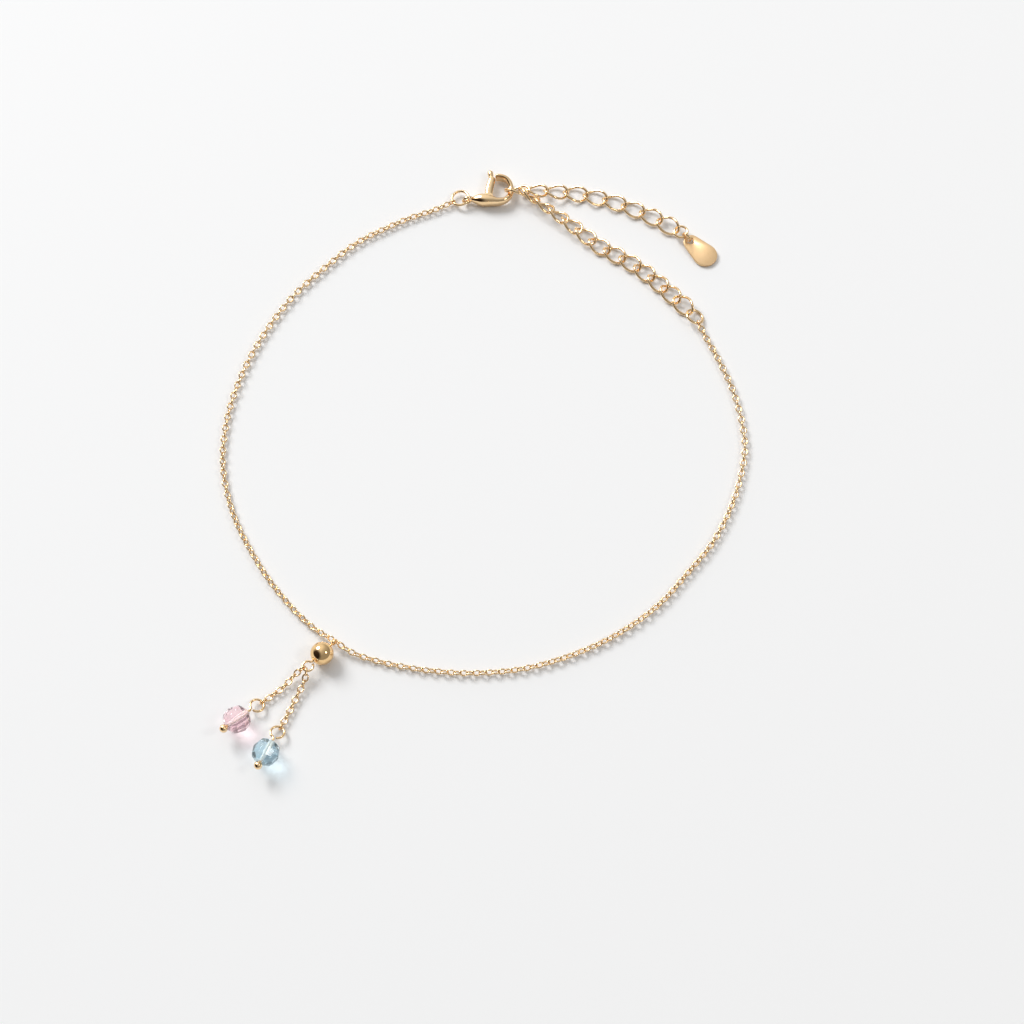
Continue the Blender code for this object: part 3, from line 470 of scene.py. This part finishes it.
def bend_ring(name, node, diameter, wire, seam_heading):
    """A split ring where its CAD node lies, its seam on the side of the heading."""
    guide = new_object(name + "_guide", bpy.data.meshes.new(name + "_guide"), None)
    ring = grow(guide, split_ring, name, diameter=diameter, wire=wire, seam=ring_seam, metal=polished_gold)
    lying = axes_of(node)
    normal = lying.to_3x3().col[2].normalized()
    seam = direction(math.radians(seam_heading))
    along_seam = (seam - normal * seam.dot(normal)).normalized()
    turn = Matrix((along_seam, normal.cross(along_seam), normal)).transposed().to_4x4()
    ring.data.transform(Matrix.Translation(lying.translation + Vector((0, 0, ring_lift))) @ turn)
    finish_piece(ring, "anklet", "gold_plated_brass", node)


bend_ring("split_ring_clasp", "clasp_ring", diameter=0.0033, wire=0.00045, seam_heading=62)
bend_ring("split_ring_extender", "extender_ring", diameter=0.0033, wire=0.00045, seam_heading=40)
bend_ring("split_ring_tail", "tail_ring", diameter=0.0026, wire=0.00042, seam_heading=50)
bend_ring("split_ring_tag", "tag_ring", diameter=0.002, wire=0.00035, seam_heading=74)


# The lobster clasp: a claw cast in one piece with its eye, and a lever with a thumb knob that turns on
# a riveted pin in the claw's fork, both tumbled smooth and plated.

clasp_length = 0.0092
clasp_width = 0.0053
clasp_thickness = 0.0023
claw_eye = 0.002
claw_eye_wire = 0.0005
pivot_pin = 0.0005
pivot_bore = 0.0007
slot_height = 0.00124
slot_margin = 0.0008
lever_thickness = 0.001
lever_boss = 0.0014


def lying_frame(x, y, height, heading):
    """A piece's own frame as it lies, X turned to the heading."""
    turn = Matrix.Rotation(math.radians(heading), 4, "Z")
    return Matrix.Translation(Vector((x, y, height)) + centring) @ turn


clasp_frame = lying_frame(-0.003, 0.04825, clasp_thickness / 2, 14)

# Along and across as shares of the clasp's length and width, then the breadth and the height there.
claw_sections = [
    (0.075, -0.02, 0.13, 0.3), (0.135, -0.045, 0.245, 0.62), (0.225, -0.085, 0.36, 0.88),
    (0.32, -0.145, 0.375, 1.0), (0.42, -0.225, 0.29, 0.97), (0.52, -0.295, 0.215, 0.85),
    (0.63, -0.31, 0.185, 0.72), (0.725, -0.25, 0.175, 0.6), (0.8, -0.11, 0.165, 0.46),
    (0.84, 0.085, 0.165, 0.43), (0.84, 0.275, 0.165, 0.56), (0.805, 0.43, 0.16, 0.72),
    (0.74, 0.53, 0.155, 0.82), (0.675, 0.582, 0.155, 0.82), (0.632, 0.6, 0.145, 0.78),
    (0.609, 0.605, 0.11, 0.6),
]
gate_sections = [
    (0.39, -0.075, 0.2, 0.97), (0.41, 0.07, 0.24, 1.0), (0.439, 0.22, 0.255, 1.0),
    (0.477, 0.36, 0.255, 1.0), (0.511, 0.47, 0.245, 1.0), (0.535, 0.555, 0.22, 1.0),
    (0.549, 0.612, 0.18, 0.9), (0.558, 0.645, 0.11, 0.6),
]
knob_sections = [
    (0.528, 0.56, 0.15, 0.8), (0.536, 0.66, 0.165, 0.9), (0.541, 0.76, 0.19, 1.0),
    (0.545, 0.83, 0.185, 0.95), (0.548, 0.87, 0.13, 0.7), (0.549, 0.887, 0.05, 0.3),
]
pivot = Vector((gate_sections[0][0] * clasp_length, gate_sections[0][1] * clasp_width, 0))


def skin(bm, rings):
    """Faces from each ring of corners to the next."""
    for ring, following in zip(rings, rings[1:]):
        for k in range(len(ring)):
            n = (k + 1) % len(ring)
            bm.faces.new((ring[k], ring[n], following[n], following[k]))


def to_mesh(bm, name):
    """The mesh of what was built, its faces turned outwards."""
    bmesh.ops.recalc_face_normals(bm, faces=bm.faces)
    mesh = bpy.data.meshes.new(name)
    bm.to_mesh(mesh)
    bm.free()
    return mesh


def shade_round(mesh, sharp_from):
    """Shades a mesh smooth, but for edges that turn by more than the angle in degrees."""
    mesh.shade_smooth()
    mesh.set_sharp_from_angle(angle=math.radians(sharp_from))


def cast_form(sections, thickness, squareness=2.4):
    """A cast limb: rounded sections across a smooth path in the clasp's plane."""
    sides = 28
    rows = smooth_curve([Vector(row) for row in sections], steps=6)
    centres = [Vector((row[0] * clasp_length, row[1] * clasp_width, 0)) for row in rows]
    bm = bmesh.new()
    rings = []
    for i, (row, centre) in enumerate(zip(rows, centres)):
        tangent = (centres[min(i + 1, len(rows) - 1)] - centres[max(i - 1, 0)]).normalized()
        side = Vector((-tangent.y, tangent.x, 0))
        ring = []
        for k in range(sides):
            c = math.cos(math.tau * k / sides)
            s = math.sin(math.tau * k / sides)
            out = math.copysign(abs(c) ** (2 / squareness), c) * row[2] * clasp_width / 2
            up = math.copysign(abs(s) ** (2 / squareness), s) * min(row[3], 1.0) * thickness / 2
            ring.append(bm.verts.new(centre + side * out + Vector((0, 0, up))))
        rings.append(ring)
    skin(bm, rings)
    bm.faces.new(rings[0])
    bm.faces.new(rings[-1])
    return to_mesh(bm, "cast_form")


def cylinder(diameter, depth):
    """A round pin about Z."""
    bm = bmesh.new()
    bmesh.ops.create_cone(bm, cap_ends=True, segments=40, radius1=diameter / 2, radius2=diameter / 2,
                          depth=depth)
    return to_mesh(bm, "cylinder")


def block(low, high):
    """A plain block between two corners."""
    bm = bmesh.new()
    bmesh.ops.create_cube(bm, size=1.0)
    mesh = to_mesh(bm, "block")
    mesh.transform(Matrix.Translation((low + high) / 2) @ Matrix.Diagonal((*(high - low), 1.0)))
    return mesh


def wire_ring(diameter, wire):
    """A closed ring of round wire about Z."""
    bm = bmesh.new()
    bmesh.ops.create_circle(bm, segments=24, radius=wire / 2)
    for vertex in bm.verts:
        vertex.co = Vector(((diameter - wire) / 2 + vertex.co.x, 0, vertex.co.y))
    bmesh.ops.spin(bm, geom=bm.verts[:] + bm.edges[:], cent=(0, 0, 0), axis=(0, 0, 1),
                   angle=math.tau, steps=48, use_merge=True)
    bmesh.ops.remove_doubles(bm, verts=bm.verts, dist=1e-7)
    return to_mesh(bm, "wire_ring")


def cast_piece(name, mesh, changes):
    """A cast form in the clasp's place, with each mesh of the changes joined on or cut away."""
    form = new_object(name + "_form", mesh, polished_gold)
    others = []
    for operation, other_mesh, place in changes:
        other_mesh.transform(place)
        other = new_object("guide", other_mesh, polished_gold)
        modifier = form.modifiers.new(operation, "BOOLEAN")
        modifier.operation = operation
        modifier.object = other
        others.append(other)
    made = plain_mesh(form, name)
    for other in others:
        bpy.data.objects.remove(other, do_unlink=True)
    made.data.transform(clasp_frame)
    shade_round(made.data, 38)
    return made


at_pivot = Matrix.Translation(pivot)
upright = Matrix.Rotation(math.pi / 2, 4, "X")
slot_low = Vector((pivot.x - slot_margin, pivot.y - slot_margin, -slot_height / 2))
slot_high = Vector((clasp_length * 0.53, clasp_width, slot_height / 2))
claw = cast_piece("lobster_claw", cast_form(claw_sections, clasp_thickness), [
    ("UNION", wire_ring(claw_eye, claw_eye_wire), upright),
    ("DIFFERENCE", block(slot_low, slot_high), Matrix()),
    ("UNION", cylinder(pivot_pin, clasp_thickness * 0.9), at_pivot),
])
finish_piece(claw, "anklet", "gold_plated_brass", "clasp_body")

lever = cast_piece("lobster_lever", cast_form(gate_sections, lever_thickness), [
    ("UNION", cast_form(knob_sections, lever_thickness, squareness=2.0), Matrix()),
    ("UNION", cylinder(lever_boss, lever_thickness), at_pivot),
    ("DIFFERENCE", cylinder(pivot_bore, lever_thickness * 3), at_pivot),
])
finish_piece(lever, "lever", "gold_plated_brass", "clasp_lever")


# The extender: curb links, ovals of 0.44 mm wire that are twisted so that the chain lies flat. One
# strand closes the loop, one link hangs in the clasp, and the rest is the free tail.

curb_length = 0.0045
curb_width = 0.00315
curb_wire = 0.00044
curb_twist = math.radians(80)
# The twisted wire bulges this much below the facets of the solid that it replaces.
curb_lift = 0.00005


def curb_links_tree(oval_link):
    """One twisted link at each point of the geometry, turned by the point's own turn."""
    tree, sizes = new_tree("curb_links", Geometry=("Geometry",),
                           Float=("Link Length", "Link Width", "Wire", "Twist"), Material=("Metal",))
    link = add_link(tree, oval_link, sizes, twist=sizes["Twist"], steps=56, sides=16)
    turn = add_node(tree, "GeometryNodeInputNamedAttribute", {"Name": "turn"}, data_type="FLOAT_VECTOR")
    by = add_node(tree, "FunctionNodeEulerToRotation", {0: turn.outputs["Attribute"]})
    laid = add_node(tree, "GeometryNodeInstanceOnPoints", {
        "Points": sizes["Geometry"], "Instance": link, "Rotation": by.outputs[0]})
    return end_tree(tree, laid.outputs[0], sizes["Metal"])


curb_links = curb_links_tree(oval_link)


def lay_curb(name, nodes):
    """The curb links of one strand, each where its CAD node lies but clear of the table."""
    lies = [Matrix.Translation((0, 0, curb_lift)) @ axes_of(node) for node in nodes]
    mesh = bpy.data.meshes.new(name + "_points")
    mesh.from_pydata([lie.translation for lie in lies], [], [])
    turns = mesh.attributes.new("turn", "FLOAT_VECTOR", "POINT")
    for item, lie in zip(turns.data, lies):
        item.vector = lie.to_euler("XYZ")
    links = grow(new_object(name + "_points", mesh, None), curb_links, name, link_length=curb_length,
                 link_width=curb_width, wire=curb_wire, twist=curb_twist, metal=polished_gold)
    finish_piece(links, "anklet", "gold_plated_brass", *nodes)


hooked = "extender_link_hooked"
strand = [node for node in sorted(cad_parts) if node.startswith("extender_link_") and node != hooked]
tail = [node for node in sorted(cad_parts) if node.startswith("tail_link_")]
lay_curb("curb_strand", strand)
lay_curb("curb_link_hooked", [hooked])
lay_curb("curb_tail", tail)


# The tag: a drop-shaped plate stamped from 0.45 mm brass, with a rounded rim and a punched hole, its
# two faces brushed to a satin before plating.

brushed_gold = gold_finish("brushed_gold_plated_brass", "#F6D5A8", "#EDC794", 0.38,
                           mark_mm=0.12, mark_depth=0.12)
tag_length = 0.0066
tag_width = 0.0041
tag_tip = 0.0028
tag_thickness = 0.00045
tag_rim = 0.00008
tag_hole = 0.0012
hole_from_tip = 0.00105
hole_chamfer = 0.00004


def steps_between(first, last, steps):
    """Even steps from the first value to the last, both included."""
    return [first + (last - first) * i / steps for i in range(steps + 1)]


def stamp_tag():
    """The plate about its hole's middle, with X down its length."""
    tip = tag_tip / 2
    end = tag_width / 2
    tip_centre = Vector((tip - hole_from_tip, 0, 0))
    end_centre = Vector((tag_length - hole_from_tip - end, 0, 0))
    tangent = math.acos((tip - end) / (end_centre.x - tip_centre.x))
    outline = [(end_centre, direction(turn), end) for turn in steps_between(-tangent, tangent, 40)]
    outline += [(tip_centre, direction(turn), tip)
                for turn in steps_between(tangent, math.tau - tangent, 20)]
    top = tag_thickness / 2
    rims = [(tag_rim * (1 - math.sin(lean)), top - tag_rim * (1 - math.cos(lean)))
            for lean in steps_between(0, math.pi / 2, 4)]
    levels = sorted([(inset, -z) for inset, z in rims] + rims, key=lambda level: level[1])
    hole = tag_hole / 2
    hole_levels = [(top, hole + hole_chamfer), (top - hole_chamfer, hole),
                   (-top + hole_chamfer, hole), (-top, hole + hole_chamfer)]
    bm = bmesh.new()
    rings = []
    for inset, z in levels:
        rings.append([bm.verts.new(c + d * (r - inset) + Vector((0, 0, z))) for c, d, r in outline])
    for z, radius in hole_levels:
        rings.append([bm.verts.new((c + d * r).normalized() * radius + Vector((0, 0, z)))
                      for c, d, r in outline])
    skin(bm, rings + rings[:1])
    mesh = to_mesh(bm, "tag_plate")
    shade_round(mesh, 50)
    return mesh


tag_lie = axes_of("tag")
down = tag_lie.to_3x3().col[0].normalized()
if down.dot(tag_lie.translation - middle_of("tag_ring")) < 0:
    down = -down
face = tag_lie.to_3x3().col[2].normalized()
if face.z < 0:
    face = -face
reach = [Vector(point).dot(down) for point in cad_points("tag")]
level = [Vector(point).dot(face) for point in cad_points("tag")]
hole_at = tag_lie.translation + down * (min(reach) + hole_from_tip - tag_lie.translation.dot(down))
hole_at += face * ((min(level) + max(level)) / 2 - hole_at.dot(face))
tag_turn = Matrix((down, face.cross(down), face)).transposed().to_4x4()
tag_plate = new_object("tag_plate", stamp_tag(), brushed_gold)
tag_plate.data.transform(Matrix.Translation(hole_at) @ tag_turn)
finish_piece(tag_plate, "anklet", "gold_plated_brass", "tag")


# The ball: a hollow brass bead, polished to a mirror, on a wire pin that is bent to a loop at each
# end. The upper loop hangs on a link of the chain and the lower one carries the two short chains.

pin_wire = 0.00038
top_loop_width = 0.0013
low_loop_width = 0.002
ball_diameter = 0.00365
bore_clearance = 0.0001
ball_frame = lying_frame(-0.02495, -0.0347, ball_diameter / 2, 225)


def turn_on_lathe(name, profile, sides, finish, place, phase=0.0):
    """A closed profile of places along X and radii, turned about X."""
    turns = [phase + math.tau * k / sides for k in range(sides)]
    bm = bmesh.new()
    rings = []
    for along, radius in profile:
        rings.append([bm.verts.new((along, math.cos(turn) * radius, math.sin(turn) * radius))
                      for turn in turns])
    skin(bm, rings + rings[:1])
    mesh = to_mesh(bm, name)
    mesh.transform(place)
    return new_object(name, mesh, finish)


mirror_gold = gold_finish("mirror_polished_gold_plated_brass", "#F9D5A0", "#F1C88E", 0.05, mark_depth=0.0)
ball_start = math.asin((pin_wire / 2 + bore_clearance) / (ball_diameter / 2))
ball_profile = [(-math.cos(turn) * ball_diameter / 2, math.sin(turn) * ball_diameter / 2)
                for turn in steps_between(ball_start, math.pi - ball_start, 48)]
ball = turn_on_lathe("ball", ball_profile, 72, mirror_gold, ball_frame)
shade_round(ball.data, 50)
finish_piece(ball, "anklet", "gold_plated_brass", "ball_bead")


def eye_reach(radius):
    """How far from a pin loop's middle the wire is straight again."""
    return radius + pin_wire * 0.9


def eye_of_pin(centre_at, radius, across):
    """A pin's loop, from its free end round to its neck, with the pin going on towards +X."""
    # The free end and the neck lie this angle to either side of the pin's line, just clear of each other.
    opening = math.asin(0.62 * pin_wire / radius)
    points = []
    for turn in steps_between(opening - math.tau, -opening, 42):
        along = Vector((centre_at + math.cos(turn) * radius, 0, 0))
        points.append(along + across * math.sin(turn) * radius)
    return points + [Vector((centre_at + eye_reach(radius), 0, 0))]


def bent_wire(name, points, widths, place):
    """Round wire along points, with its width at each, its ends cut flat."""
    guide = path_object(name + "_path", points)
    guide.data.bevel_depth = 0.5
    guide.data.bevel_resolution = 6
    guide.data.use_fill_caps = True
    for spline_point, width in zip(guide.data.splines[0].points, widths):
        spline_point.radius = width
    guide.data.materials.append(polished_gold)
    made = plain_mesh(guide, name)
    made.data.transform(place)
    shade_round(made.data, 50)
    return made


top_radius = (top_loop_width - pin_wire) / 2
low_radius = (low_loop_width - pin_wire) / 2
top_at = -(ball_diameter / 2 + eye_reach(top_radius))
low_at = ball_diameter / 2 + eye_reach(low_radius)
top_loop = eye_of_pin(top_at, top_radius, Vector((0, 0, -1)))
low_loop = [Vector((-p.x, p.y, p.z)) for p in eye_of_pin(-low_at, low_radius, Vector((0, 1, 0)))]
pin_points = top_loop + low_loop[::-1]
ball_pin = bent_wire("ball_wire_pin", pin_points, [pin_wire] * len(pin_points), ball_frame)
finish_piece(ball_pin, "anklet", "gold_plated_brass", "ball_pin")


# The two charms: glass crystals, pale pink and light blue, each ground with twelve facets round a
# drilled bore, on a headpin whose wire ends in a cast ball below and a bent loop above.

# Ground and polished crystal glass: clear, with a faint milkiness and a body colour that deepens where
# it is thick. Its shadow is tinted in the shader, as the focused light is too fine to trace.
def crystal_glass(name, colour, shade, shadow, roughness=0.02, clearness=0.93):
    """Glass that clouds gently between two colours, with a light shadow of its own."""
    finish = bpy.data.materials.new(name)
    finish.use_nodes = True
    tree = finish.node_tree
    shader = tree.nodes["Principled BSDF"]
    shader.inputs["Roughness"].default_value = roughness
    shader.inputs["IOR"].default_value = 1.5
    shader.inputs["Transmission Weight"].default_value = clearness
    at = add_node(tree, "ShaderNodeTexCoord").outputs["Object"]
    cloud_size = 0.0012
    swirl = add_node(tree, "ShaderNodeTexNoise", {"Vector": at, "Scale": 1 / cloud_size, "Detail": 2.0})
    body = mix_colours(tree, swirl.outputs["Fac"], linear(colour), linear(shade))
    tree.links.new(body, shader.inputs["Base Color"])
    clear = add_node(tree, "ShaderNodeBsdfTransparent", {"Color": linear(shadow)})
    in_shadow = add_node(tree, "ShaderNodeLightPath").outputs["Is Shadow Ray"]
    mixed = add_node(tree, "ShaderNodeMixShader", {
        0: in_shadow, 1: shader.outputs[0], 2: clear.outputs[0]})
    tree.links.new(mixed.outputs[0], tree.nodes["Material Output"].inputs["Surface"])
    return finish


pink_crystal = crystal_glass("pale_pink_crystal_glass", "#FEEFF2", "#FBE0E5", "#DCD0D3")
blue_crystal = crystal_glass("light_blue_crystal_glass", "#E1F1F7", "#C7E3ED", "#D2DADE")
# The bore is left matt by the drill and shows as a white streak.
drilled_glass = crystal_glass("drilled_matt_crystal_glass", "#FFFFFF", "#F7F9FA", "#F2F2F2",
                              roughness=0.5, clearness=0.35)

crystal_diameter = 0.0043
crystal_length = 0.0039
crystal_facets = 12
shoulder_diameter = 0.00355
shoulder_length = 0.0026
table_diameter = 0.0017
polished_edge = 0.00003
headpin_loop = 0.0025
headpin_neck = 0.0007
headpin_ball = 0.0013
headpin_radius = (headpin_loop - pin_wire) / 2
loop_distance = crystal_length / 2 + headpin_neck + eye_reach(headpin_radius)


def charm_frame(x, y, heading):
    """A crystal lies on one of the long facets at its loop side."""
    flat = math.cos(math.pi / crystal_facets)
    girdle = crystal_diameter / 2 * flat
    shoulder = shoulder_diameter / 2 * flat
    tilt = math.atan2(girdle - shoulder, shoulder_length / 2)
    turn = Matrix.Rotation(math.radians(heading), 4, "Z") @ Matrix.Rotation(-tilt, 4, "Y")
    return Matrix.Translation(Vector((x, y, girdle * math.cos(tilt))) + centring) @ turn


def grind_crystal(name, place, glass):
    """A faceted crystal with a table at each end of its bore, its edges polished round."""
    bore = pin_wire / 2 + bore_clearance
    ends = [(crystal_length / 2, bore), (crystal_length / 2, table_diameter / 2),
            (shoulder_length / 2, shoulder_diameter / 2)]
    profile = [(-x, r) for x, r in ends] + [(0.0, crystal_diameter / 2)] + ends[::-1]
    flat_down = -math.pi / 2 + math.pi / crystal_facets
    rough = turn_on_lathe(name + "_rough", profile, crystal_facets, glass, place, phase=flat_down)
    edges = rough.modifiers.new("polished_edges", "BEVEL")
    edges.width = polished_edge
    edges.segments = 2
    edges.limit_method = "ANGLE"
    edges.angle_limit = math.radians(8)
    made = plain_mesh(rough, name)
    made.data.materials.append(drilled_glass)
    axis = place.inverted()
    for face in made.data.polygons:
        if (axis @ face.center).yz.length < bore * 1.1:
            face.material_index = 1
    made.data.shade_flat()
    return made


def make_headpin(name, place):
    """A wire with a bent loop above and, below the crystal, a ball that swells from the wire."""
    points = eye_of_pin(-loop_distance, headpin_radius, Vector((0, 1, 0)))
    widths = [pin_wire] * len(points)
    ball_at = crystal_length / 2 + headpin_ball / 2 + bore_clearance / 2
    neck = math.asin(pin_wire / headpin_ball)
    for turn in steps_between(neck, math.radians(176), 24):
        points.append(Vector((ball_at - math.cos(turn) * headpin_ball / 2, 0, 0)))
        widths.append(math.sin(turn) * headpin_ball)
    return bent_wire(name, points, widths, place)


pink_frame = charm_frame(-0.0376, -0.0456, 223)
blue_frame = charm_frame(-0.03295, -0.0509, 247)
crystal_bead_pink = grind_crystal("crystal_bead_pink", pink_frame, pink_crystal)
finish_piece(crystal_bead_pink, "anklet", "pink_crystal", "crystal_pink")
crystal_bead_blue = grind_crystal("crystal_bead_blue", blue_frame, blue_crystal)
finish_piece(crystal_bead_blue, "anklet", "blue_crystal", "crystal_blue")
headpin_wire_pink = make_headpin("headpin_wire_pink", pink_frame)
finish_piece(headpin_wire_pink, "anklet", "gold_plated_brass", "headpin_pink")
headpin_wire_blue = make_headpin("headpin_wire_blue", blue_frame)
finish_piece(headpin_wire_blue, "anklet", "gold_plated_brass", "headpin_blue")


# The two short chains: lengths of the same cable chain, hooked to the ball's lower loop and to the
# loop of a headpin, the first and last links upright.

hook_clearance = 0.0001


def lay_short_chain(name, node, hook_heading, middle, charm):
    """A short chain from the ball's lower loop, over the middle points, to a charm's loop."""
    hook_offset = fine_link_length / 2 - fine_wire - pin_wire / 2 - hook_clearance
    loop_at = ball_frame @ Vector((low_at, 0, 0))
    start = loop_at + direction(math.radians(hook_heading)) * low_radius
    route = [Vector(point) for point in middle]
    away = Vector((route[0].x - start.x, route[0].y - start.y, 0)).normalized()
    pin_loop = charm @ Vector((-loop_distance, 0, 0))
    local = charm.to_3x3().transposed() @ (route[-1] - pin_loop)
    local.z = 0
    end = pin_loop + charm.to_3x3() @ (local.normalized() * headpin_radius)
    back = Vector((route[-1].x - end.x, route[-1].y - end.y, 0)).normalized()
    points = [start + away * hook_offset, *[point + centring for point in route], end + back * hook_offset]
    chain = lay_cable(name, points, odd=1, first_link=0, first_turn=90, last_turn=90, drift=0)
    finish_piece(chain, "anklet", "gold_plated_brass", node)


pink_middle = [(-0.0293, -0.0382, 0.0011), (-0.0309, -0.0399, 0.0007)]
blue_middle = [(-0.0276, -0.0391, 0.0011), (-0.0288, -0.0416, 0.0007), (-0.0298, -0.0439, 0.00065)]
lay_short_chain("cable_chain_pink", "short_chain_pink", 203, pink_middle, pink_frame)
lay_short_chain("cable_chain_blue", "short_chain_blue", 256, blue_middle, blue_frame)
